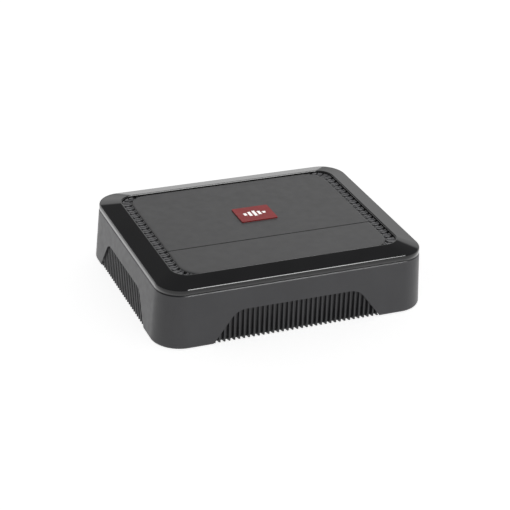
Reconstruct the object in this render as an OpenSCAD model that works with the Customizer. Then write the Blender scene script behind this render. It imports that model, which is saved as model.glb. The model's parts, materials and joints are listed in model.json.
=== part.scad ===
// Compact mono car amplifier: a drafted skirt and a sloped gloss bezel round a cast heat sink.
// X runs along the front face, Y to the back, Z up; the origin is the centre of the foot.

/* [Overall size] */
// Width of the skirt at its foot
body_w = 244; // [238:1:256]
// Depth of the skirt at its foot
body_d = 196; // [190:1:206]
// Height of the bezel's rim above the resting plane
body_h = 57; // [56:0.5:60]
// Plan radius of the skirt's corners at its foot
corner_r = 25; // [22:1:28]

/* [Skirt] */
// How far each wall leans inwards between foot and top
draft = 2.9; // [1.5:0.1:3.4]
// Thickness of the moulded walls
wall = 2.5; // [2:0.1:2.8]
// Height of the skirt's top edge
skirt_top = 47.6; // [47:0.1:48.2]
// Radius under the skirt's foot
foot_r = 1.8; // [1:0.1:2.4]

/* [Arches] */
// Height of the front and rear arches
long_arch_h = 28; // [26:0.2:29]
// Half width of the front and rear arches at the foot
long_arch_half = 76; // [72:1:78]
// Lean of their sides, sideways for each unit of height
long_arch_lean = 0.76; // [0.5:0.01:0.8]
// Radius of their top corners
long_arch_r = 16; // [6:1:18]
// Height of the two side arches
side_arch_h = 29.2; // [27:0.2:30]
// Half width of the side arches at the foot
side_arch_half = 60; // [56:1:62]
// Lean of their sides, sideways for each unit of height
side_arch_lean = 0.62; // [0.5:0.01:0.7]
// Radius of their top corners
side_arch_r = 12; // [6:1:14]
// How far the side arches' middles lie behind the body's middle
side_arch_shift = 3; // [0:0.5:4]

/* [Fins] */
// Spacing of the upright fins in the arches
fin_pitch = 4.35; // [3.8:0.05:5]
// Width of a fin at its tip
fin_tip = 1.3; // [1:0.1:1.6]
// Width of a fin at its root
fin_root = 2.9; // [2.4:0.1:3.3]
// How far the fins stand out of their panel at the foot
fin_depth = 3.4; // [2:0.1:3.6]
// Spacing of the pockets along the two top vents
pocket_pitch = 7.7; // [7:0.1:9]
// Width of each pocket along its vent
pocket_w = 3.4; // [2.4:0.1:3.6]

/* [Top] */
// Thickness of the top plate and of the access cover
plate_t = 1.8; // [1.5:0.1:2.2]
// Place of the seam between top plate and access cover
seam_y = -32; // [-34:0.5:-30]
// Width of that seam
seam_gap = 1.1; // [0.5:0.1:1.4]
// Width of the badge
badge_w = 33.5; // [28:0.5:36]
// Depth of the badge
badge_d = 26; // [22:0.5:28]

/* [Controls and connectors] */
// Radius of the control knobs
knob_r = 6.5; // [5:0.5:8]
// Travel of the slide switches
switch_travel = 3; // [2:0.5:3]
// Radius of the wire holes in the screw terminals
wire_r = 4.2; // [3.5:0.1:4.4]
// Spacing of the screw terminals
terminal_pitch = 14; // [13:0.5:15]
// Outer radius of the phono sockets
phono_r = 4.15; // [4.1:0.05:4.2]

/* [Mounting] */
// Distance between mounting holes along X
mount_x = 190; // [180:1:196]
// Distance between mounting holes along Y
mount_y = 140; // [130:1:146]
// Radius of the mounting nuts' threaded holes
mount_r = 2.1; // [1.6:0.1:2.6]

/* [Hidden] */
$fn = 48;

half_w = body_w / 2;
half_d = body_d / 2;
eps = 0.01;
cut = 1;                            // overshoot of a cutting solid
smooth_fn = 72;                     // circle steps in the lofted shells
sides = [-1, 1];

// Levels, from the resting plane up
base_bottom = 0.4;
base_top = 2;
board_bottom = 8;
board_top = 9.6;
deck_bottom = 39;
deck_top = 43;
sink_top = skirt_top - 2;           // the skirt's top flange rests here
gasket_t = 0.8;
band_bottom = skirt_top + gasket_t;
band_top = body_h - 4.1;
plate_top = body_h - 1;
plate_bottom = plate_top - plate_t;
rim_wall_top = plate_bottom - 0.4;

// Insets from the envelope at the foot
flange_out = 4.8;                   // outer face of the panels' flanges
flange_in = 6.8;                    // inner face of the flanges, outer face of the heat sink
sink_wall = 3;
recess_face = 14;                   // outer face of the connector panels
band_inset = 3;
boss_inset = 11.5;

// Half sizes of the plans on top
open_x = half_w - 20.8;             // bezel's opening
open_y = half_d - 20.8;
open_r = 13.5;
plate_x = half_w - 29;
plate_y = half_d - 21.4;
plate_r = 17;
basin_x = half_w - 17.8;
basin_y = half_d - 16;

// Vents between plate and bezel
vent_top = plate_bottom - 0.3;       // where the strips run under the plate and the bezel
vent_floor = plate_top - 1.5;        // between them
inner_lip = plate_top - 0.5;         // the channel's sides rise to these levels
outer_lip = body_h - 1.8;
inner_run = 2;                       // and lean over these widths
outer_run = 1.6;
vent_gap = 0.3;                      // between the lips and the edges beside them
vent_reach = 2;                      // how far the strip runs under the bezel
vent_inner = 4.5;                    // and under the plate
vent_inner_r = 6;
vent_end = 71;                       // the strips stop here, near the middle of front and rear
vent_turn = 1.45;                    // how far round each corner the slots go, in radians
pocket_floor = 46;
inner_pocket = 2.8;                  // how far each pocket shows beyond the plate's edge
outer_pocket = 2.4;                  // and inside the bezel's edge
wide_groove = 1.6;
fine_groove = 1;
groove_depth = 1.8;

// Screws
screw_r = 1.25;
pilot_r = 1.3;
hole_r = 1.7;
head_r = 2.8;
head_h = 2;
boss_r = 3;

// Control bay under the access cover
bay_x = plate_x - vent_inner - 0.4;
bay_front = -plate_y + 5.8;
bay_back = seam_y - 8;
controls_y = (bay_front + bay_back) / 2;
tray_t = 2;
tray_top = deck_top + tray_t;
control_board_bottom = 33.4;
control_board_top = 35;
knob_x = [-6, 22, 50];
switch_x = [-58, -34];
window_x = 70;
window_y = 11;
shaft_r = 3;
shaft_gap = 0.05;

// Places of the rear and right-hand connectors, along each side seen from outside
power_x = -38;
fuse_x = [-8, 4];
speaker_x = 32;
phono_x = [-26, -8];
line_x = 14;
remote_x = 32;
led_x = [43, 49];
terminal_z = 15;
terminal_screw_z = 22.4;
terminal_h = 17;
terminal_front = 6;
terminal_depth = 16;

// ---------- shared shapes ----------

module plan(hx, hy, r) {
    square([2 * hx - 2 * r, 2 * hy], center = true);
    square([2 * hx, 2 * hy - 2 * r], center = true);
    for (sx = sides, sy = sides) {
        translate([sx * (hx - r), sy * (hy - r)]) circle(r);
    }
}

// Rounded slab between two levels
module slab(hx, hy, r, z0, z1) {
    translate([0, 0, z0]) linear_extrude(z1 - z0) plan(hx, hy, r);
}

// Slice of the skirt's plan at one level, moved in from the foot's outline
module slice(inset, z) {
    slab(half_w - inset, half_d - inset, corner_r - inset, z, z + eps, $fn = smooth_fn);
}

// Each arch: half width, height, lean, corner radius and shift along its side, seen from outside
LONG_ARCH = [long_arch_half, long_arch_h, long_arch_lean, long_arch_r, 0];
LEFT_ARCH = [side_arch_half, side_arch_h, side_arch_lean, side_arch_r, -side_arch_shift];
RIGHT_ARCH = [side_arch_half, side_arch_h, side_arch_lean, side_arch_r, side_arch_shift];

// Local frame of one side: y = 0 is the envelope's face and +y runs into the body
module on_side(turn, half) {
    rotate([0, 0, turn]) translate([0, -half, 0]) children();
}
module on_front() { on_side(0, half_d) children(); }
module on_left() { on_side(-90, half_w) children(); }
module on_rear() { on_side(180, half_d) children(); }
module on_right() { on_side(90, half_w) children(); }

// Arch outline: leaning sides and round top corners, grown outwards by grow
function arch_points(arch, grow, z0) =
    let(lean = arch[2],
        h = arch[1] + grow,
        r = arch[3] + grow,
        slant = sqrt(1 + pow(lean, 2)),
        b = arch[0] + grow * slant,
        cz = h - r,
        cx = b - lean * cz - r * slant,
        a0 = atan(lean),
        steps = 10)
    concat(
        [[b - lean * z0, z0]],
        [for (i = [0:steps]) let(a = a0 + (90 - a0) * i / steps) [cx + r * cos(a), cz + r * sin(a)]],
        [for (i = [0:steps]) let(a = 90 - (90 - a0) * i / steps) [-cx - r * cos(a), cz + r * sin(a)]],
        [[lean * z0 - b, z0]]
    );

module arch_prism(arch, grow, z0, y0, y1) {
    translate([arch[4], y1, 0]) rotate([90, 0, 0]) linear_extrude(y1 - y0) polygon(arch_points(arch, grow, z0));
}

// Cylinder along +Y
module y_rod(r, x, y0, y1, z) {
    translate([x, y0, z]) rotate([-90, 0, 0]) cylinder(r = r, h = y1 - y0);
}

// Box given by its middle in X and its limits in Y and Z
module block(x, w, y0, y1, z0, z1) {
    translate([x - w / 2, y0, z0]) cube([w, y1 - y0, z1 - z0]);
}

// Pan-head screw standing on its head's underside, shank up
module screw(length) {
    cylinder(r = screw_r, h = length);
    translate([0, 0, -head_h]) difference() {
        cylinder(r = head_r, h = head_h);
        translate([0, 0, -cut]) cylinder(r = 1.3, h = cut + 1.2, $fn = 6);
    }
}

module at_bosses() {
    for (sx = sides, sy = sides) {
        translate([sx * (half_w - boss_inset), sy * 45, 0]) children();
        translate([sx * 55, sy * (half_d - boss_inset), 0]) children();
    }
}
module at_plate_posts() {
    for (x = [-62, 62], y = [-14, 58]) translate([x, y, 0]) children();
}
module at_tray_screws() {
    for (x = [-78, 78], y = [-11.4, 11.4]) translate([x, controls_y + y, 0]) children();
}
module at_cover_pegs() {
    for (x = [-66, 66], y = [bay_front - 3, bay_back + 3.2]) translate([x, y, 0]) children();
}
module at_base_screws() {
    for (sx = sides, sy = sides) translate([sx * (half_w - 13.5), sy * (half_d - 21), 0]) children();
}
module at_mounts() {
    for (sx = sides, sy = sides) translate([sx * mount_x / 2, sy * mount_y / 2, 0]) children();
}
module at_standoffs() {
    for (x = [-84, 0, 84], y = [-70, 66]) translate([x, y, 0]) children();
}

// ---------- skirt and bezel ----------

module side_skirt() color("#4c4c4f") difference() {
    hull() {
        slice(foot_r, 0);
        slice(foot_r * 0.29, foot_r * 0.29);
        slice(0, foot_r);
        slice(draft, skirt_top - 0.6);
        slice(draft + 0.6, skirt_top - eps);
    }
    hull() {
        slice(wall, -cut);
        slice(wall + draft, sink_top - eps);
    }
    slab(half_w - 14.8, half_d - 13, 14, sink_top - cut, skirt_top + cut);
    at_bosses() translate([0, 0, sink_top - cut]) cylinder(r = boss_r + 0.4, h = 4);
    on_front() arch_prism(LONG_ARCH, 0, -cut, -cut, 8);
    on_rear() arch_prism(LONG_ARCH, 0, -cut, -cut, 8);
    on_left() arch_prism(LEFT_ARCH, 0, -cut, -cut, 8);
    on_right() arch_prism(RIGHT_ARCH, 0, -cut, -cut, 8);
}

module trim_gasket() color("#0c0c0d") difference() {
    slab(half_w - 4.1, half_d - 4.1, corner_r - 4.1, skirt_top, band_bottom);
    slab(half_w - 7.5, half_d - 7.5, corner_r - 7.5, skirt_top - cut, band_bottom + cut);
}

// Outline of the bezel's opening at one level, grown outwards by grow
module opening_slice(grow, z) {
    slab(open_x + grow, open_y + grow, open_r + grow, z, z + eps, $fn = smooth_fn);
}

module top_bezel() color("#161618") difference() {
    rim_flat = 1.1;
    union() {
        difference() {
            hull() {
                slice(band_inset, band_bottom);
                slice(band_inset + 0.2, band_top - 0.7);
                slice(band_inset + 0.4, band_top - 0.25);
                slice(band_inset + 0.9, band_top);
                opening_slice(rim_flat, body_h - eps);
            }
            hull() {
                slice(band_inset + wall, band_bottom - cut);
                slice(band_inset + wall, band_top - 2.4);
                opening_slice(2.2, body_h - 2.8);
            }
        }
        at_bosses() translate([0, 0, sink_top]) cylinder(r = boss_r, h = band_top - 1 - sink_top);
    }
    hull() {
        opening_slice(0, band_bottom);
        opening_slice(0, body_h - 0.5);
        opening_slice(0.5, body_h);
        opening_slice(0.5, body_h + cut);
    }
    at_bosses() translate([0, 0, sink_top - cut]) cylinder(r = pilot_r, h = 7);
}

// ---------- top plate, access cover and badge ----------

// Sheet with rounded-over edges that the plate and the cover are both cut from
module lid_sheet() {
    hull() {
        slab(plate_x, plate_y, plate_r, plate_bottom, plate_bottom + 0.4, $fn = smooth_fn);
        slab(plate_x, plate_y, plate_r, plate_top - 0.7, plate_top - 0.69, $fn = smooth_fn);
        slab(plate_x - 0.3, plate_y - 0.3, plate_r, plate_top - 0.3, plate_top - 0.29, $fn = smooth_fn);
        slab(plate_x - 0.9, plate_y - 0.9, plate_r, plate_top - 0.08, plate_top - 0.07, $fn = smooth_fn);
        slab(plate_x - 1.8, plate_y - 1.8, plate_r, plate_top - eps, plate_top, $fn = smooth_fn);
    }
}

module top_plate() color("#59595c") difference() {
    union() {
        intersection() {
            lid_sheet();
            block(0, body_w, seam_y + seam_gap / 2, half_d, 0, body_h);
        }
        at_plate_posts() translate([0, 0, 50]) cylinder(r = 4, h = plate_bottom + eps - 50);
    }
    at_plate_posts() translate([0, 0, 50 - cut]) cylinder(r = pilot_r, h = 5 + cut);
}

module access_cover() color("#59595c") {
    intersection() {
        lid_sheet();
        block(0, body_w, -half_d, seam_y - seam_gap / 2, 0, body_h);
    }
    at_cover_pegs() translate([0, 0, plate_bottom - 5]) cylinder(r = 1.6, h = 5 + eps);
    for (x = [-40, 0, 40]) block(x, 1.6, bay_front + 2, bay_back - 2, plate_bottom - 1.4, plate_bottom + eps);
}

badge_x = 2.75;
badge_y = 11.5;
inlay = 0.3;
bar_heights = [4.5, 8, 9.6, 6.4, 3.4];
bar_w = 2.8;
bar_pitch = 4.4;

module badge_bar_row(z0, z1) {
    for (i = [0:len(bar_heights) - 1]) {
        h = bar_heights[i];
        block(badge_x + (i - 2) * bar_pitch, bar_w, badge_y - h / 2, badge_y + h / 2, z0, z1);
    }
}

module badge_plate() color("#a02a30") difference() {
    translate([badge_x, badge_y, plate_top]) linear_extrude(body_h - plate_top)
        plan(badge_w / 2, badge_d / 2, 1.2);
    badge_bar_row(body_h - inlay, body_h + cut);
}

module badge_bars() color("white") badge_bar_row(body_h - inlay, body_h);

// ---------- panels in the arches ----------

// Flange behind the arch, with fins that lean back with the skirt's wall
module fin_panel(arch) {
    half = arch[0] + 4;
    count = floor((half - 3) / fin_pitch);
    tilt = atan(draft / skirt_top);
    comb = concat(
        [[-half, -0.1], [-half, 0]],
        [for (i = [-count:count], p = [[-fin_root, 0], [-fin_tip, 1], [fin_tip, 1], [fin_root, 0]])
            [i * fin_pitch + p[0] / 2, p[1] * fin_depth]],
        [[half, 0], [half, -0.1]]
    );
    arch_prism(arch, 2.6, base_bottom, flange_out, flange_in);
    intersection() {
        arch_prism(arch, -0.4, base_bottom, 0, flange_in - 0.2);
        translate([0, flange_out, base_bottom]) rotate([-tilt, 0, 0]) mirror([0, 1, 0])
            translate([0, 0, -cut]) linear_extrude(arch[1] + 2 * cut) polygon(comb);
    }
}

module front_fin_panel() color("#2e2e31") on_front() fin_panel(LONG_ARCH);
module left_fin_panel() color("#2e2e31") on_left() fin_panel(LEFT_ARCH);

// Moulded recess behind an arch; its floor is above the base plate
module recess_shell(arch) {
    floor_z = base_top + 0.2;
    difference() {
        union() {
            arch_prism(arch, 2.6, base_bottom, flange_out, flange_in);
            arch_prism(arch, 1.6, floor_z, flange_out, recess_face + 2);
        }
        arch_prism(arch, -0.4, floor_z + 1.4, -cut, recess_face);
    }
}

module rear_panel() color("#232326") on_rear() difference() {
    recess_shell(LONG_ARCH);
    terminal_hole(power_x, 3);
    terminal_hole(speaker_x, 2);
    block(fuse_mid, fuse_holder_w + 0.6, 0, 20, board_top - 0.3, 27.7);
}

module right_panel() color("#232326") on_right() difference() {
    recess_shell(RIGHT_ARCH);
    block(phono_mid, phono_block_w + 0.6, 0, 20, 8, 23.6);
    block(line_x, 20.6, 0, 20, 8, 22.6);
    block(remote_x, 13.6, 0, 20, 8, 22.6);
    for (x = led_x) y_rod(1.65, x, 0, 20, 14);
}

// ---------- heat sink ----------

module heat_sink() color("#333336") difference() {
    union() {
        difference() {
            slab(half_w - flange_in, half_d - flange_in, corner_r - flange_in, base_top, sink_top);
            slab(half_w - flange_in - sink_wall, half_d - flange_in - sink_wall,
                 corner_r - flange_in - sink_wall, base_top - cut, deck_bottom);
            slab(basin_x, basin_y, open_r + 2, deck_top, sink_top + cut);
        }
        block(0, 2 * vent_end - 2, -plate_y + 0.2, bay_front, deck_top - eps, plate_bottom);
        block(0, 2 * vent_end - 2, plate_y - 4, plate_y - 0.2, deck_top - eps, plate_bottom);
        block(0, 2 * bay_x, bay_back, seam_y + 5, deck_top - eps, plate_bottom);
        at_plate_posts() translate([0, 0, deck_top - eps]) cylinder(r = 4.5, h = 50 - deck_top);
        at_base_screws() translate([0, 0, base_top]) cylinder(r = 4, h = deck_bottom - base_top + eps);
    }
    on_rear() block(0, 2 * long_arch_half + 8, 0, recess_face + 3, -cut, long_arch_h + 3);
    on_right() block(side_arch_shift, 2 * side_arch_half + 8, 0, recess_face + 3, -cut, side_arch_h + 3);
    block(0, 2 * window_x, controls_y - window_y, controls_y + window_y, deck_bottom - cut, deck_top + cut);
    at_bosses() {
        translate([0, 0, deck_bottom - cut]) cylinder(r = head_r + 0.4, h = cut + 3.6);
        translate([0, 0, deck_bottom]) cylinder(r = hole_r, h = 10);
    }
    at_plate_posts() translate([0, 0, deck_bottom - cut]) cylinder(r = hole_r, h = 14);
    at_tray_screws() translate([0, 0, deck_bottom - cut]) cylinder(r = pilot_r, h = 6);
    at_cover_pegs() translate([0, 0, plate_bottom - 6]) cylinder(r = 2, h = 6 + cut);
    at_base_screws() translate([0, 0, base_top - cut]) cylinder(r = pilot_r, h = 11 + cut);
    at_clamp_screws() y_rod(pilot_r, 0, flange_in + 0.8, flange_in + sink_wall + cut, clamp_z);
}

// ---------- vents beside the plate ----------

// Slots of one width across the vent's side: along its straight stretch and round the plate's corners
module vent_cuts(w, shift, from, to, floor_z) {
    straight = plate_y - plate_r;
    count = floor(straight / pocket_pitch - shift);
    past = (count + 1 + shift) * pocket_pitch - straight;
    for (i = [-count - 2 * shift:count]) {
        translate([from, (i + shift) * pocket_pitch - w / 2, floor_z]) cube([to - from, w, body_h]);
    }
    for (sy = sides, d = [past:pocket_pitch:plate_r * vent_turn]) {
        translate([plate_x - plate_r, sy * straight, floor_z]) rotate([0, 0, sy * d / plate_r * 180 / PI])
            translate([plate_r + from - plate_x, -w / 2, 0]) cube([to - from, w, body_h]);
    }
}

// Shallow channel between raised lips at the plate's edge and under the bezel's
module vent_channel() difference() {
    hull() {
        slab(open_x - outer_run, open_y - vent_gap - 0.2, open_r, vent_floor, vent_floor + eps, $fn = smooth_fn);
        slab(open_x - vent_gap, open_y - vent_gap, open_r, outer_lip, body_h, $fn = smooth_fn);
    }
    hull() {
        slab(plate_x + inner_run, plate_y + inner_run, plate_r + inner_run, vent_floor - cut, vent_floor,
             $fn = smooth_fn);
        slab(plate_x + vent_gap, plate_y + vent_gap, plate_r, inner_lip - eps, inner_lip, $fn = smooth_fn);
    }
}

module vent_strip() difference() {
    intersection() {
        union() {
            slab(open_x + vent_reach, open_y + vent_reach, open_r + vent_reach, deck_top, vent_top);
            difference() {
                slab(open_x - vent_gap, open_y - vent_gap, open_r - vent_gap, vent_top - eps, outer_lip);
                slab(plate_x + vent_gap, plate_y + vent_gap, plate_r + vent_gap, vent_top - cut, body_h);
            }
        }
        block((vent_end + half_w) / 2, half_w - vent_end, -half_d, half_d, 0, body_h);
    }
    slab(plate_x - vent_inner, plate_y - vent_inner, vent_inner_r, deck_top - cut, body_h);
    vent_channel();
    vent_cuts(pocket_w, 0, plate_x - 1, plate_x + inner_pocket, pocket_floor);
    vent_cuts(wide_groove, 0, plate_x - 1, open_x + 1, vent_floor - groove_depth);
    vent_cuts(fine_groove, 0.5, plate_x - 1, open_x + 1, vent_floor - groove_depth);
    outer_count = floor((open_y - open_r) / pocket_pitch);
    for (i = [-outer_count:outer_count]) {
        block(open_x + (1 - outer_pocket) / 2, outer_pocket + 1, i * pocket_pitch - pocket_w / 2,
              i * pocket_pitch + pocket_w / 2, pocket_floor, body_h);
    }
}

module right_vent() color("#4a4a4d") vent_strip();
module left_vent() color("#4a4a4d") mirror([1, 0, 0]) vent_strip();

// ---------- base and its fasteners ----------

module base_plate() color("#38383a") difference() {
    slab(half_w - flange_in, half_d - flange_in, corner_r - flange_in, base_bottom, base_top);
    at_base_screws() translate([0, 0, -cut]) cylinder(r = hole_r, h = 4);
    at_mounts() translate([0, 0, -cut]) cylinder(r = 3.6, h = 4);
    at_standoffs() translate([0, 0, -cut]) cylinder(r = hole_r, h = 4);
}

// Press nuts: a spigot in the plate's hole and a wider barrel on its top
module mount_nuts() color("#b9b7a8") at_mounts() difference() {
    union() {
        translate([0, 0, base_bottom]) cylinder(r = 3.6, h = 2);
        translate([0, 0, base_top]) cylinder(r = 5, h = 5);
    }
    cylinder(r = mount_r, h = 8);
}

module base_screws() color("#8d8d90") at_base_screws() translate([0, 0, base_bottom]) difference() {
    union() {
        cylinder(r = screw_r, h = 11);
        translate([0, 0, -0.4]) cylinder(r = head_r, h = 0.4);
    }
    translate([0, 0, -cut]) cylinder(r = 0.9, h = cut + 1, $fn = 6);
}

module bezel_screws() color("#8d8d90") at_bosses() translate([0, 0, deck_bottom + 3.6]) screw(9);
module plate_screws() color("#8d8d90") at_plate_posts() translate([0, 0, deck_bottom]) screw(15);
module tray_screws() color("#8d8d90") at_tray_screws() translate([0, 0, tray_top]) mirror([0, 0, 1]) screw(6);

// ---------- controls under the access cover ----------

module slider_slot(x, z0, z1) {
    translate([x - 1.9, controls_y - 1.5, z0]) cube([switch_travel + 3.8, 3, z1 - z0]);
}

module control_tray() color("#1d1d20") difference() {
    union() {
        block(0, 2 * bay_x - 3, bay_front + 1, bay_back - 1, deck_top, tray_top);
        for (x = knob_x) {
            translate([x, controls_y, tray_top - eps]) difference() {
                cylinder(r = knob_r + 2.2, h = 1);
                cylinder(r = knob_r + 1.2, h = 3);
            }
        }
    }
    for (x = knob_x) translate([x, controls_y, deck_top - cut]) cylinder(r = shaft_r + 0.4, h = 4);
    for (x = switch_x) slider_slot(x, deck_top - cut, tray_top + cut);
    at_tray_screws() translate([0, 0, deck_top - cut]) cylinder(r = hole_r, h = 4);
}

module control_board() color("#1f5a36") difference() {
    block(0, 2 * window_x + 8, controls_y - 13, controls_y + 13, control_board_bottom, control_board_top);
    for (sx = sides) {
        translate([sx * 70, controls_y, control_board_bottom - cut]) cylinder(r = 1.6, h = 4);
    }
}

module control_pots() color("#2f3f57") for (x = knob_x) difference() {
    block(x, 12, controls_y - 6, controls_y + 6, control_board_top, deck_top);
    translate([x, controls_y, control_board_top + 2]) cylinder(r = shaft_r + shaft_gap, h = 10);
}

module knob(x) {
    flutes = 18;
    translate([x, controls_y, 0]) {
        translate([0, 0, control_board_top + 2.4]) cylinder(r = shaft_r, h = tray_top - control_board_top - 2);
        difference() {
            translate([0, 0, tray_top + 0.4]) cylinder(r = knob_r, h = 6);
            for (i = [0:flutes - 1]) rotate([0, 0, (i + 0.5) * 360 / flutes])
                translate([knob_r + 0.25, 0, tray_top]) cylinder(r = 0.7, h = 8, $fn = 16);
            translate([-0.6, 0, tray_top + 5.8]) cube([1.2, knob_r + 1, 2]);
        }
    }
}
module gain_knob() color("#8b8b90") knob(knob_x[0]);
module lowpass_knob() color("#8b8b90") knob(knob_x[1]);
module boost_knob() color("#8b8b90") knob(knob_x[2]);

module switch_bodies() color("#2b2b2e") for (x = switch_x) difference() {
    block(x + switch_travel / 2, 15, controls_y - 4, controls_y + 4, control_board_top, deck_top);
    slider_slot(x, control_board_top + 3, deck_top + cut);
}

module slider(x) {
    block(x, 3, controls_y - 1.1, controls_y + 1.1, control_board_top + 3.3, tray_top + 3.2);
    block(x, 1, controls_y - 1.1, controls_y + 1.1, tray_top + 3.1, tray_top + 3.8);
}
module phase_slider() color("#d8d8d4") slider(switch_x[0]);
module level_slider() color("#d8d8d4") slider(switch_x[1]);

// Flat cable from the control board down to a header on the main board
module ribbon_cable() color("#9aa0a8") {
    y = controls_y + 9;
    block(0, 22, y - 2.5, y + 2.5, board_top, board_top + 6);
    block(0, 20, y - 0.5, y + 0.5, board_top + 6 - eps, control_board_bottom - 5);
    block(0, 22, y - 2.5, y + 2.5, control_board_bottom - 5 - eps, control_board_bottom);
}

// ---------- main board and power stage ----------

board_front = -half_d + 16;
board_rear = half_d - 18;
board_left = -half_w + 14;
board_right = half_w - 18;

module circuit_board() color("#1f5a36") difference() {
    translate([board_left, board_front, board_bottom])
        cube([board_right - board_left, board_rear - board_front, board_top - board_bottom]);
    at_standoffs() translate([0, 0, board_bottom - cut]) cylinder(r = hole_r, h = 4);
    for (sx = sides, sy = sides) {
        translate([sx * (half_w - 13.5), sy * (half_d - 21), board_bottom - cut]) cylinder(r = 6, h = 4);
    }
}

module board_standoffs() color("#c9c4b0") at_standoffs() difference() {
    translate([0, 0, base_top]) cylinder(r = 3.2, h = board_bottom - base_top, $fn = 6);
    translate([0, 0, base_top - cut]) cylinder(r = pilot_r, h = 10);
}

module board_screws() color("#8d8d90") at_standoffs() translate([0, 0, board_top]) mirror([0, 0, 1]) screw(6);

coil_x = -46;
coil_y = 8;
coil_z = board_top + 13;

module ring(outer, inner, h) {
    rotate_extrude() translate([inner, -h / 2]) square([outer - inner, h]);
}

module toroid_core() color("#3d4a3a") translate([coil_x, coil_y, coil_z]) ring(23, 13, 19);

// One hollow winding shell with shallow grooves between its turns
module toroid_winding() color("#b5652a") translate([coil_x, coil_y, coil_z]) difference() {
    ring(26, 10, 26);
    ring(23, 13, 19);
    for (a = [0:12:359]) rotate([0, 0, a]) translate([24.8, -0.5, -14]) cube([2, 1, 28]);
}

module output_inductor() color("#b5652a") translate([40, -12, board_top + 9]) difference() {
    ring(17, 6, 18);
    for (a = [0:18:359]) rotate([0, 0, a]) translate([16, -0.5, -10]) cube([2, 1, 20]);
}

module input_choke() color("#8f5a2c") translate([-72, 52, board_top + 7]) {
    rotate([0, 90, 0]) cylinder(r = 2.5, h = 26, center = true);
    for (i = [-4:4]) translate([i * 2.7, 0, 0]) rotate([0, 90, 0]) rotate_extrude() translate([4.6, 0]) circle(1.2);
    for (sx = sides) block(sx * 12.6, 1.2, -6, 6, -7, 7);
}

module can_capacitor(x, y, r, h) {
    translate([x, y, board_top]) difference() {
        cylinder(r = r, h = h);
        translate([0, 0, 3]) ring(r + 1, r - 0.5, 1);
        for (a = [0, 60, 120]) rotate([0, 0, a]) block(0, r * 1.2, -0.25, 0.25, h - 0.4, h + cut);
    }
}
module bulk_capacitors() color("#20304f") for (i = [0:3]) can_capacitor(-2 + i * 20, 34, 9, 26);
module rail_capacitors() color("#20304f") for (i = [0:3]) can_capacitor(82, -44 + i * 16, 6.3, 21);

mosfet_pitch = 18;
clamp_z = 22;
mosfet_x = [for (i = [-3.5:1:3.5]) i * mosfet_pitch];
pad_face = flange_in + sink_wall + 0.3;

module at_clamp_screws() on_front() for (x = [-54, -18, 18, 54]) translate([x, 0, 0]) children();

module thermal_pad() color("#b8b0a0") on_front() difference() {
    block(0, 148, flange_in + sink_wall, pad_face, 12, 32);
    for (x = [-54, -18, 18, 54]) y_rod(hole_r, x, 0, 20, clamp_z);
}

module mosfets() color("#1b1b1d") on_front() for (x = mosfet_x) {
    block(x, 10, pad_face, pad_face + 4.5, 14, 24.5);
    block(x, 10, pad_face, pad_face + 1.3, 24.5 - eps, 30);
    for (dx = [-2.54, 0, 2.54]) {
        block(x + dx, 0.9, pad_face + 2.2, pad_face + 2.8, board_top - 2.4, 14 + eps);
    }
}

module clamp_bar() color("#9a9ca0") on_front() difference() {
    block(0, 148, pad_face + 4.5, pad_face + 6.5, 18, 26);
    for (x = [-54, -18, 18, 54]) y_rod(hole_r, x, 0, 20, clamp_z);
}

module clamp_screws() color("#8d8d90") at_clamp_screws()
    translate([0, pad_face + 6.5, clamp_z]) rotate([90, 0, 0]) screw(8.6);

module driver_board() color("#1f5a36") {
    block(50, 46, -50, -48.4, board_top, board_top + 20);
    for (x = [36, 50, 64]) block(x, 9, -52.2, -50 + eps, board_top + 6, board_top + 14);
}

// ---------- rear connectors ----------

// Hole in the rear panel round a row of terminals
module terminal_hole(x, count) {
    gap = 0.3;
    block(x, count * terminal_pitch + 2 * gap, 0, 20, board_top - 2 * gap, board_top + terminal_h + gap);
}

function terminal_places(x, count) = [for (i = [0:count - 1]) x + (i - (count - 1) / 2) * terminal_pitch];

// One separate housing for each wire, side by side
module terminal_block(x, count) {
    for (px = terminal_places(x, count)) difference() {
        block(px, terminal_pitch - 0.1, terminal_front, terminal_front + terminal_depth,
              board_top, board_top + terminal_h);
        y_rod(wire_r, px, terminal_front - cut, terminal_front + 14, terminal_z);
        y_rod(2.6, px, terminal_front - cut, terminal_front + 9, terminal_screw_z);
    }
}

module power_terminals() color("#3a3a3e") on_rear() terminal_block(power_x, 3);
module speaker_terminals() color("#3a3a3e") on_rear() terminal_block(speaker_x, 2);

module terminal_screws() color("#c8c8c4") on_rear()
    for (x = concat(terminal_places(power_x, 3), terminal_places(speaker_x, 2))) difference() {
        y_rod(2.55, x, terminal_front + 1, terminal_front + 9, terminal_screw_z);
        translate([x, terminal_front, terminal_screw_z]) rotate([-90, 0, 0]) cylinder(r = 1.4, h = 4, $fn = 6);
    }

fuse_mid = (fuse_x[0] + fuse_x[1]) / 2;
fuse_holder_w = fuse_x[1] - fuse_x[0] + 9;
fuse_z = 18.4;
blade_z = 5.2;                      // height of each blade above or below the fuse's middle
fuse_holder_front = 12;

module fuse_holder() color("#151517") on_rear() difference() {
    block(fuse_mid, fuse_holder_w, fuse_holder_front, 26, board_top, 27.4);
    for (x = fuse_x, dz = [-blade_z, blade_z]) {
        block(x, 1.4, fuse_holder_front - cut, 23, fuse_z + dz - 2.7, fuse_z + dz + 2.7);
    }
}

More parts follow.
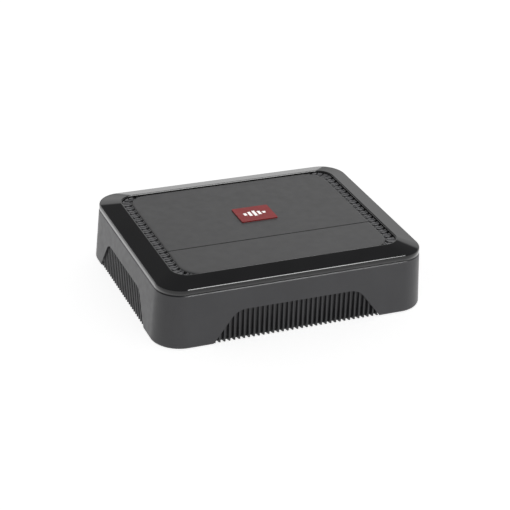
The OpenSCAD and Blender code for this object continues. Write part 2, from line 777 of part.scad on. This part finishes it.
module blade_fuse(x) {
    block(x, 5, fuse_holder_front - 6.5, fuse_holder_front - 0.3, fuse_z - 8.6, fuse_z + 8.6);
    block(x, 3.6, fuse_holder_front - 8, fuse_holder_front - 6.5 + eps, fuse_z - 7.6, fuse_z + 7.6);
    for (dz = [-blade_z, blade_z]) {
        block(x, 0.8, fuse_holder_front - 0.3 - eps, 22, fuse_z + dz - 2.4, fuse_z + dz + 2.4);
    }
}
module left_fuse() color("#d8a21c") on_rear() blade_fuse(fuse_x[0]);
module right_fuse() color("#d8a21c") on_rear() blade_fuse(fuse_x[1]);

// ---------- right-hand connectors ----------

phono_mid = (phono_x[0] + phono_x[1]) / 2;
phono_block_w = phono_x[1] - phono_x[0] + 14;
phono_z = 16;
phono_front = 5.6;
phono_face = 12.4;

module phono_block() color("#1a1a1c") on_right() difference() {
    union() {
        block(phono_mid, phono_block_w, phono_face, 28, board_top, 23);
        for (x = phono_x) y_rod(3.2, x, phono_front + 0.6, phono_face + eps, phono_z);
    }
    for (x = phono_x) y_rod(1.7, x, phono_front - cut, phono_face + 4, phono_z);
}

module phono_sleeves() color("#c9b682") on_right() for (x = phono_x) difference() {
    y_rod(phono_r, x, phono_front, phono_face, phono_z);
    y_rod(3.3, x, phono_front - cut, phono_face + cut, phono_z);
}

// Open-fronted socket housing with a contact row on its back wall
module socket(x, w, pins) {
    difference() {
        block(x, w, recess_face - 2.5, 26, board_top, 22);
        block(x, w - 3, recess_face - 4, 23, board_top + 1.6, 20.4);
    }
    for (i = [0:pins - 1]) {
        px = x + (i - (pins - 1) / 2) * 2.6;
        block(px, 0.8, 17, 23 + eps, board_top + 5.2, board_top + 6);
    }
}
module line_socket() color("#e4e2dc") on_right() socket(line_x, 20, 5);
module remote_socket() color("#2a2a2c") on_right() socket(remote_x, 13, 3);

module light_pipe(x) {
    y_rod(1.6, x, 12.8, 22, 14);
    translate([x, 22 - eps, 0]) block(0, 3.2, 0, 3, board_top, 15.6);
}
module power_led() color("#4ea5ff") on_right() light_pipe(led_x[0]);
module protect_led() color("#e0322d") on_right() light_pipe(led_x[1]);

side_skirt();
trim_gasket();
top_bezel();
top_plate();
access_cover();
badge_plate();
badge_bars();
front_fin_panel();
left_fin_panel();
rear_panel();
right_panel();
heat_sink();
left_vent();
right_vent();
base_plate();
mount_nuts();
base_screws();
bezel_screws();
plate_screws();
control_tray();
tray_screws();
control_board();
control_pots();
gain_knob();
lowpass_knob();
boost_knob();
switch_bodies();
phase_slider();
level_slider();
ribbon_cable();
circuit_board();
board_standoffs();
board_screws();
toroid_core();
toroid_winding();
output_inductor();
input_choke();
bulk_capacitors();
rail_capacitors();
mosfets();
thermal_pad();
clamp_bar();
clamp_screws();
driver_board();
power_terminals();
speaker_terminals();
terminal_screws();
fuse_holder();
left_fuse();
right_fuse();
phono_block();
phono_sleeves();
line_socket();
remote_socket();
power_led();
protect_led();
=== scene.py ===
"""Looks, light and camera for the compact car amplifier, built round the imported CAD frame."""
import json
import math

import bpy
from mathutils import Matrix, Vector


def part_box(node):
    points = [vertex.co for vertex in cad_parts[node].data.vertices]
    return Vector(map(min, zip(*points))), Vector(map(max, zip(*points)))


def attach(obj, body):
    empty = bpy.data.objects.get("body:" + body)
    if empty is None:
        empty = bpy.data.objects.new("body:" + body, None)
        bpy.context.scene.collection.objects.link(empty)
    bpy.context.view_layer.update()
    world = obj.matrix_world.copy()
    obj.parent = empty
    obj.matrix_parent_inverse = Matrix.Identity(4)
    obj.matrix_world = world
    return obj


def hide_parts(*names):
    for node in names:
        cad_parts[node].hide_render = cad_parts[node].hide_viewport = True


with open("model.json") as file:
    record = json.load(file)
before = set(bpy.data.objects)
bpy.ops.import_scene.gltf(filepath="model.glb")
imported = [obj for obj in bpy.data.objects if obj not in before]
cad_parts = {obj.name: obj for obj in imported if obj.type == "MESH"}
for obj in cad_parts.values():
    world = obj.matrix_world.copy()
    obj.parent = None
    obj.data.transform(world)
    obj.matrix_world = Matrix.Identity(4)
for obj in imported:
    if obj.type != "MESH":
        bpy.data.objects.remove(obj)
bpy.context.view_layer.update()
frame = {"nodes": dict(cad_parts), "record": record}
NODES = frame["nodes"]

MM = 0.001

# ---------------------------------------------------------------- camera

CAMERA_AZIMUTH = math.radians(-23.4)
CAMERA_ELEVATION = math.radians(27.58)
CAMERA_ROLL = math.radians(2.61)
CAMERA_DISTANCE = 1.37765
CAMERA_LENS = 110.79                     # on a 36 mm sensor
CAMERA_TARGET = Vector((0, 0, 0.025))
CAMERA_PAN = (-0.00015, -0.00283)        # sideways and up, in the picture's plane


def make_camera():
    """Long lens on the left-hand front corner, turned slightly about its own axis."""
    flat = math.cos(CAMERA_ELEVATION)
    back = Vector((
        math.sin(CAMERA_AZIMUTH) * flat, -math.cos(CAMERA_AZIMUTH) * flat, math.sin(CAMERA_ELEVATION)
    ))
    level_right = Vector((0, 0, 1)).cross(back).normalized()
    level_up = back.cross(level_right)
    cos_r, sin_r = math.cos(CAMERA_ROLL), math.sin(CAMERA_ROLL)
    right = cos_r * level_right + sin_r * level_up
    up = cos_r * level_up - sin_r * level_right
    place = CAMERA_TARGET + CAMERA_PAN[0] * right + CAMERA_PAN[1] * up + CAMERA_DISTANCE * back
    data = bpy.data.cameras.new("camera")
    data.lens = CAMERA_LENS
    data.sensor_width = 36
    data.clip_start = 0.05
    data.clip_end = 50
    camera = bpy.data.objects.new("camera", data)
    turn = Matrix((right, up, back)).transposed().to_4x4()
    camera.matrix_world = Matrix.Translation(place) @ turn
    bpy.context.scene.collection.objects.link(camera)
    bpy.context.scene.camera = camera


# ---------------------------------------------------------------- node helpers

NOISE_LOW, NOISE_HIGH = 0.3, 0.7         # most of a noise texture's values lie between these
MIX_FACTOR, MIX_A, MIX_B, MIX_RESULT = 0, 6, 7, 2    # a colour mix node's sockets


class Tree:
    """A material's node tree, with short calls for the nodes that every finish uses."""

    def __init__(self, name, base, roughness, metallic=0.0):
        self.material = bpy.data.materials.new(name)
        self.material.use_nodes = True
        self.nodes = self.material.node_tree.nodes
        self.links = self.material.node_tree.links
        self.shader = self.nodes["Principled BSDF"]
        self.base = base
        self.shader.inputs["Base Color"].default_value = (*base, 1)
        self.shader.inputs["Roughness"].default_value = roughness
        self.shader.inputs["Metallic"].default_value = metallic
        self.roughness = roughness
        self.place = self.nodes.new("ShaderNodeTexCoord").outputs["Object"]

    def stretched(self, scale):
        mapping = self.nodes.new("ShaderNodeMapping")
        mapping.inputs["Scale"].default_value = scale
        self.links.new(self.place, mapping.inputs["Vector"])
        return mapping.outputs["Vector"]

    def noise(self, per_metre, detail, vector=None):
        node = self.nodes.new("ShaderNodeTexNoise")
        node.inputs["Scale"].default_value = per_metre
        node.inputs["Detail"].default_value = detail
        self.links.new(vector or self.place, node.inputs["Vector"])
        return node.outputs["Fac"]

    def span(self, value, low, high):
        """Stretch the middle of a noise value to the range from low to high."""
        node = self.nodes.new("ShaderNodeMapRange")
        node.inputs["From Min"].default_value = NOISE_LOW
        node.inputs["From Max"].default_value = NOISE_HIGH
        node.inputs["To Min"].default_value = low
        node.inputs["To Max"].default_value = high
        self.links.new(value, node.inputs["Value"])
        return node.outputs["Result"]

    def tone(self, value, amount):
        """Vary the base colour between darker and lighter by a noise value."""
        mix = self.nodes.new("ShaderNodeMix")
        mix.data_type = "RGBA"
        mix.inputs[MIX_A].default_value = (*(c * (1 - amount) for c in self.base), 1)
        mix.inputs[MIX_B].default_value = (*(min(1.0, c * (1 + amount)) for c in self.base), 1)
        self.links.new(self.span(value, 0, 1), mix.inputs[MIX_FACTOR])
        self.links.new(mix.outputs[MIX_RESULT], self.shader.inputs["Base Color"])

    def rough(self, value, spread):
        """Vary the roughness on both sides of its mean."""
        varied = self.span(value, self.roughness - spread, self.roughness + spread)
        self.links.new(varied, self.shader.inputs["Roughness"])

    def bump(self, height, depth, strength, normal=None):
        """Raise the surface by a height value; normal is an earlier bump to add to."""
        node = self.nodes.new("ShaderNodeBump")
        node.inputs["Strength"].default_value = strength
        node.inputs["Distance"].default_value = depth
        self.links.new(height, node.inputs["Height"])
        if normal is not None:
            self.links.new(normal, node.inputs["Normal"])
        self.links.new(node.outputs["Normal"], self.shader.inputs["Normal"])
        return node.outputs["Normal"]


def moulded(name, base, roughness, grain=1400, depth=0.03 * MM, tone=0.08, spread=0.04):
    """Spark-eroded or moulded plastic: fine even grain, slow drift of tone and gloss."""
    tree = Tree(name, base, roughness)
    tree.tone(tree.noise(55, 3), tone)
    tree.rough(tree.noise(160, 3), spread)
    tree.bump(tree.noise(grain, 2), depth, 0.5)
    return tree


def coated(name, base, roughness, grain=900, depth=0.04 * MM, tone=0.07):
    """Textured paint or powder coat on metal: two sizes of grain."""
    tree = Tree(name, base, roughness)
    tree.tone(tree.noise(35, 4), tone)
    tree.rough(tree.noise(120, 4), 0.05)
    coarse = tree.bump(tree.noise(grain, 2), depth, 0.45)
    tree.bump(tree.noise(grain * 3.1, 1), depth * 0.5, 0.4, coarse)
    return tree


def polished(name, base, roughness, tone=0.1):
    """Gloss moulding: clear, with a faint flow ripple and handling haze."""
    tree = Tree(name, base, roughness)
    tree.tone(tree.noise(30, 2), tone)
    tree.rough(tree.noise(90, 5), roughness * 0.45)
    tree.bump(tree.noise(26, 1), 0.02 * MM, 0.25)
    return tree


def metal(name, base, roughness, grain=(240, 3200, 3200), tone=0.12):
    """Drawn, turned or plated metal with directional scratches."""
    tree = Tree(name, base, roughness, 1.0)
    lines = tree.noise(1, 3, tree.stretched(grain))
    tree.tone(lines, tone)
    tree.rough(lines, 0.08)
    tree.bump(lines, 0.01 * MM, 0.4)
    return tree


def wire_wound(name, base):
    """Enamelled copper wire lying side by side."""
    tree = Tree(name, base, 0.28, 0.85)
    wave = tree.nodes.new("ShaderNodeTexWave")
    wave.inputs["Scale"].default_value = 160
    wave.inputs["Distortion"].default_value = 0.6
    tree.links.new(tree.place, wave.inputs["Vector"])
    tree.tone(wave.outputs["Fac"], 0.25)
    tree.rough(tree.noise(300, 2), 0.06)
    tree.bump(wave.outputs["Fac"], 0.25 * MM, 0.6)
    return tree


def printed_board(name, base):
    """Solder mask over copper traces: the mask stands up where a trace runs under it."""
    tree = Tree(name, base, 0.32)
    cells = tree.nodes.new("ShaderNodeTexBrick")
    cells.inputs["Scale"].default_value = 60
    cells.inputs["Mortar Size"].default_value = 0.035
    cells.inputs["Color1"].default_value = (*base, 1)
    cells.inputs["Color2"].default_value = (*(c * 0.8 for c in base), 1)
    cells.inputs["Mortar"].default_value = (*(min(1, c * 1.9) for c in base), 1)
    tree.links.new(tree.place, cells.inputs["Vector"])
    tree.links.new(cells.outputs["Color"], tree.shader.inputs["Base Color"])
    tree.rough(tree.noise(400, 2), 0.05)
    tree.bump(cells.outputs["Fac"], 0.04 * MM, 0.6)
    return tree


# ---------------------------------------------------------------- finishes, one for each slot

def make_finishes():
    finishes = {
        "skirt_plastic": moulded("skirt_plastic", (0.027, 0.027, 0.0295), 0.36, 1100, 0.05 * MM),
        "bezel_gloss": polished("bezel_gloss", (0.006, 0.006, 0.0065), 0.035),
        "gasket_rubber": moulded("gasket_rubber", (0.008, 0.008, 0.008), 0.7),
        "lid_paint": coated("lid_paint", (0.037, 0.037, 0.0378), 0.42, tone=0.04),
        "badge_enamel": coated("badge_enamel", (0.16, 0.004, 0.005), 0.4, 1600, 0.015 * MM, 0.1),
        "badge_inlay": coated("badge_inlay", (0.8, 0.79, 0.77), 0.35, 1600, 0.01 * MM, 0.03),
        "fin_cast": coated("fin_cast", (0.02, 0.02, 0.022), 0.4, 1200, 0.05 * MM, 0.15),
        # vent_cast: the vents' own grey, raised lighter than the lid's as painted light, standing in for
        # light reaching down into the channels
        "vent_cast": coated("vent_cast", (0.06, 0.06, 0.063), 0.38, 1200, 0.04 * MM, 0.1),
        "panel_plastic": moulded("panel_plastic", (0.02, 0.02, 0.022), 0.5),
        "base_steel": coated("base_steel", (0.025, 0.025, 0.027), 0.5),
        "screw_steel": metal("screw_steel", (0.5, 0.5, 0.51), 0.32),
        "nut_brass": metal("nut_brass", (0.66, 0.5, 0.26), 0.3),
        "board_green": printed_board("board_green", (0.02, 0.1, 0.045)),
        "pot_case": moulded("pot_case", (0.05, 0.09, 0.16), 0.45),
        "knob_grey": moulded("knob_grey", (0.2, 0.2, 0.205), 0.4),
        "slider_white": moulded("slider_white", (0.7, 0.7, 0.66), 0.4, tone=0.04),
        "ribbon_grey": moulded("ribbon_grey", (0.33, 0.35, 0.38), 0.55),
        "core_ferrite": coated("core_ferrite", (0.05, 0.08, 0.05), 0.5),
        "winding_copper": wire_wound("winding_copper", (0.62, 0.24, 0.08)),
        "can_sleeve": polished("can_sleeve", (0.015, 0.03, 0.09), 0.25),
        "chip_epoxy": moulded("chip_epoxy", (0.012, 0.012, 0.013), 0.55),
        "pad_silicone": moulded("pad_silicone", (0.42, 0.39, 0.33), 0.75),
        "clamp_aluminium": metal("clamp_aluminium", (0.62, 0.62, 0.64), 0.35),
        "terminal_plastic": moulded("terminal_plastic", (0.03, 0.03, 0.033), 0.4),
        "terminal_nickel": metal("terminal_nickel", (0.72, 0.7, 0.65), 0.2),
        "fuse_amber": polished("fuse_amber", (0.75, 0.4, 0.02), 0.2),
        "phono_gold": metal("phono_gold", (0.85, 0.62, 0.25), 0.2),
        "socket_ivory": moulded("socket_ivory", (0.68, 0.65, 0.57), 0.45, tone=0.05),
        "socket_black": moulded("socket_black", (0.015, 0.015, 0.016), 0.45),
        "lens_blue": polished("lens_blue", (0.06, 0.3, 0.9), 0.12),
        "lens_red": polished("lens_red", (0.75, 0.03, 0.02), 0.12),
    }
    return {slot: tree.material for slot, tree in finishes.items()}


def dress_frame(finishes):
    """Give every CAD node the finish of its slot."""
    for part in frame["record"]["subparts"]:
        data = NODES[part["node"]].data
        data.materials.clear()
        data.materials.append(finishes[part["material_slot"]])


# ---------------------------------------------------------------- bezel

BEZEL_CORNER = 22 * MM                   # outer corner, seen from above
BEZEL_BOTTOM = 48.4 * MM
BEZEL_SHOULDER = 52.72 * MM              # where the band's face would meet the slope
BEZEL_SLOPE = math.atan(4.1 / 15.8)
BEZEL_DRAFT = 0.2 * MM                   # lean of the band over its height
BEZEL_FILLET = 1.2 * MM
BEZEL_WALL = 2.5 * MM
MOUTH_INSET = 17.8 * MM                  # the opening's edge, in from the bezel's outside
MOUTH_CORNER = 13.5 * MM
MOUTH_FLAT = 1.4 * MM
MOUTH_FILLET = 0.9 * MM
MOUTH_DEPTH = 2.8 * MM
MOUTH_REBATE = 2.2 * MM                  # how far the underside steps back from the opening
MOUTH_BREAK = 0.2 * MM                   # softens the edge where the slope meets the flat rim
WALL_DROP = 2.2 * MM                     # the band's inside stops this far under the shoulder
CORNER_STEPS = 28
FILLET_STEPS = 8
MOUTH_STEPS = 4


def rounded_ring(half_x, half_y, radius, z):
    """Points round a rectangle with rounded corners, anticlockwise from the right-hand side."""
    points = []
    for quarter, (side_x, side_y) in enumerate(((1, 1), (-1, 1), (-1, -1), (1, -1))):
        for step in range(CORNER_STEPS + 1):
            angle = math.radians(90 * (quarter + step / CORNER_STEPS))
            x = side_x * (half_x - radius) + radius * math.cos(angle)
            y = side_y * (half_y - radius) + radius * math.sin(angle)
            points.append((x, y, z))
    return points


def loft(name, rings):
    """Closed tube whose cross-section steps through the rings, each a loop of the same number of points."""
    count = len(rings[0])
    faces = []
    for ring in range(len(rings)):
        here, there = ring * count, (ring + 1) % len(rings) * count
        for point in range(count):
            after = (point + 1) % count
            faces.append((here + point, here + after, there + after, there + point))
    mesh = bpy.data.meshes.new(name)
    mesh.from_pydata([p for ring in rings for p in ring], [], faces)
    mesh.polygons.foreach_set("use_smooth", [True] * len(faces))
    mesh.update()
    piece = bpy.data.objects.new(name, mesh)
    bpy.context.scene.collection.objects.link(piece)
    return piece


def make_bezel(material):
    """Gloss frame: an upright band, a slope up to a flat rim, and a rounded edge into the opening."""
    low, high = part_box("top_bezel")
    half_x, half_y, top = (high.x - low.x) / 2, (high.y - low.y) / 2, high.z

    def outer(inset, z):
        return rounded_ring(half_x - inset, half_y - inset, BEZEL_CORNER - inset, z)

    def mouth(grow, z):
        return rounded_ring(
            half_x - MOUTH_INSET + grow, half_y - MOUTH_INSET + grow, MOUTH_CORNER + grow, z
        )

    rings = [outer(0, BEZEL_BOTTOM)]
    turn = math.pi / 2 - BEZEL_SLOPE
    tangent = BEZEL_FILLET * math.tan(turn / 2)
    for step in range(FILLET_STEPS + 1):
        angle = turn * step / FILLET_STEPS
        rings.append(outer(
            BEZEL_DRAFT + BEZEL_FILLET * (1 - math.cos(angle)),
            BEZEL_SHOULDER - tangent + BEZEL_FILLET * math.sin(angle),
        ))
    rings.append(mouth(MOUTH_FLAT + MOUTH_BREAK / 4, top - MOUTH_BREAK / 10))
    rings.append(mouth(MOUTH_FLAT - MOUTH_BREAK, top))
    for step in range(MOUTH_STEPS + 1):
        angle = math.pi / 2 * step / MOUTH_STEPS
        rings.append(mouth(
            MOUTH_FILLET * (1 - math.sin(angle)), top - MOUTH_FILLET * (1 - math.cos(angle))
        ))
    rings.append(mouth(0, top - MOUTH_DEPTH))
    rings.append(mouth(MOUTH_REBATE, top - MOUTH_DEPTH))
    rings.append(outer(BEZEL_WALL, BEZEL_SHOULDER - WALL_DROP))
    rings.append(outer(BEZEL_WALL, BEZEL_BOTTOM))
    bezel = loft("bezel", rings)
    weighted = bezel.modifiers.new("even_normals", "WEIGHTED_NORMAL")
    weighted.weight = 100
    bezel.data.materials.append(material)
    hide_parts("top_bezel")
    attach(bezel, "chassis")


# ---------------------------------------------------------------- studio

# Brightness of the surround at each height of the direction looked in, from level to straight up
SURROUND = ((0.0, 0.4), (0.25, 0.95), (0.44, 1.0), (0.5, 0.17), (1.0, 0.15))
LIT_POINT = (0, 0, 0.05)                 # both softboxes face this point
FLOOR_SIZE = 6.0
FLOOR_DROP = 0.2 * MM                    # keeps the floor clear of the object's foot
FLOOR_GLOW = 0.78


def make_world():
    """Pale surround: bright up to a sharp edge, as a tented studio with an open top."""
    world = bpy.data.worlds.new("studio")
    bpy.context.scene.world = world
    world.use_nodes = True
    nodes, links = world.node_tree.nodes, world.node_tree.links
    direction = nodes.new("ShaderNodeTexCoord").outputs["Generated"]
    split = nodes.new("ShaderNodeSeparateXYZ")
    links.new(direction, split.inputs["Vector"])
    ramp = nodes.new("ShaderNodeValToRGB")
    while len(ramp.color_ramp.elements) < len(SURROUND):
        ramp.color_ramp.elements.new(0.5)
    for element, (height, light) in zip(ramp.color_ramp.elements, SURROUND):
        element.position = height
        element.color = (light, light, light, 1)
    links.new(split.outputs["Z"], ramp.inputs["Fac"])
    links.new(ramp.outputs["Color"], nodes["Background"].inputs["Color"])
    nodes["Background"].inputs["Strength"].default_value = 1


def make_softbox(name, place, along, size, power, unlit):
    """Rectangular light whose second side lies as near to along as facing LIT_POINT allows."""
    data = bpy.data.lights.new(name, "AREA")
    data.shape = "RECTANGLE"
    data.size, data.size_y = size
    data.energy = power
    back = (Vector(place) - Vector(LIT_POINT)).normalized()
    long_way = (Vector(along) - back * back.dot(Vector(along))).normalized()
    turn = Matrix((long_way.cross(back), long_way, back)).transposed().to_4x4()
    light = bpy.data.objects.new(name, data)
    light.matrix_world = Matrix.Translation(place) @ turn
    bpy.context.scene.collection.objects.link(light)
    light.light_linking.receiver_collection = unlit


def make_floor():
    """White paper under the object. Returns the collection that keeps softboxes off it."""
    mesh = bpy.data.meshes.new("floor")
    half = FLOOR_SIZE / 2
    corners = [(-half, -half, 0), (half, -half, 0), (half, half, 0), (-half, half, 0)]
    mesh.from_pydata(corners, [], [(0, 1, 2, 3)])
    floor = bpy.data.objects.new("floor", mesh)
    floor.location.z = -FLOOR_DROP
    bpy.context.scene.collection.objects.link(floor)
    tree = Tree("floor_paper", (0.85, 0.85, 0.85), 0.85)
    tree.tone(tree.noise(3, 2), 0.01)
    tree.shader.inputs["Emission Color"].default_value = (1, 1, 1, 1)
    tree.shader.inputs["Emission Strength"].default_value = FLOOR_GLOW
    mesh.materials.append(tree.material)
    unlit = bpy.data.collections.new("not_lit_by_softboxes")
    unlit.objects.link(floor)
    unlit.collection_objects[0].light_linking.link_state = "EXCLUDE"
    return unlit


def make_studio():
    bpy.context.scene.view_settings.view_transform = "Standard"
    make_world()
    unlit = make_floor()
    make_softbox("top_softbox", (0.46, -0.33, 1.2), (0, 1, 0), (0.4, 1.2), 21, unlit)
    make_softbox("back_softbox", (-0.9, 1.25, 0.14), (0, 0, 1), (0.7, 0.3), 1.8, unlit)


make_camera()
make_studio()
finishes = make_finishes()
dress_frame(finishes)
make_bezel(finishes["bezel_gloss"])
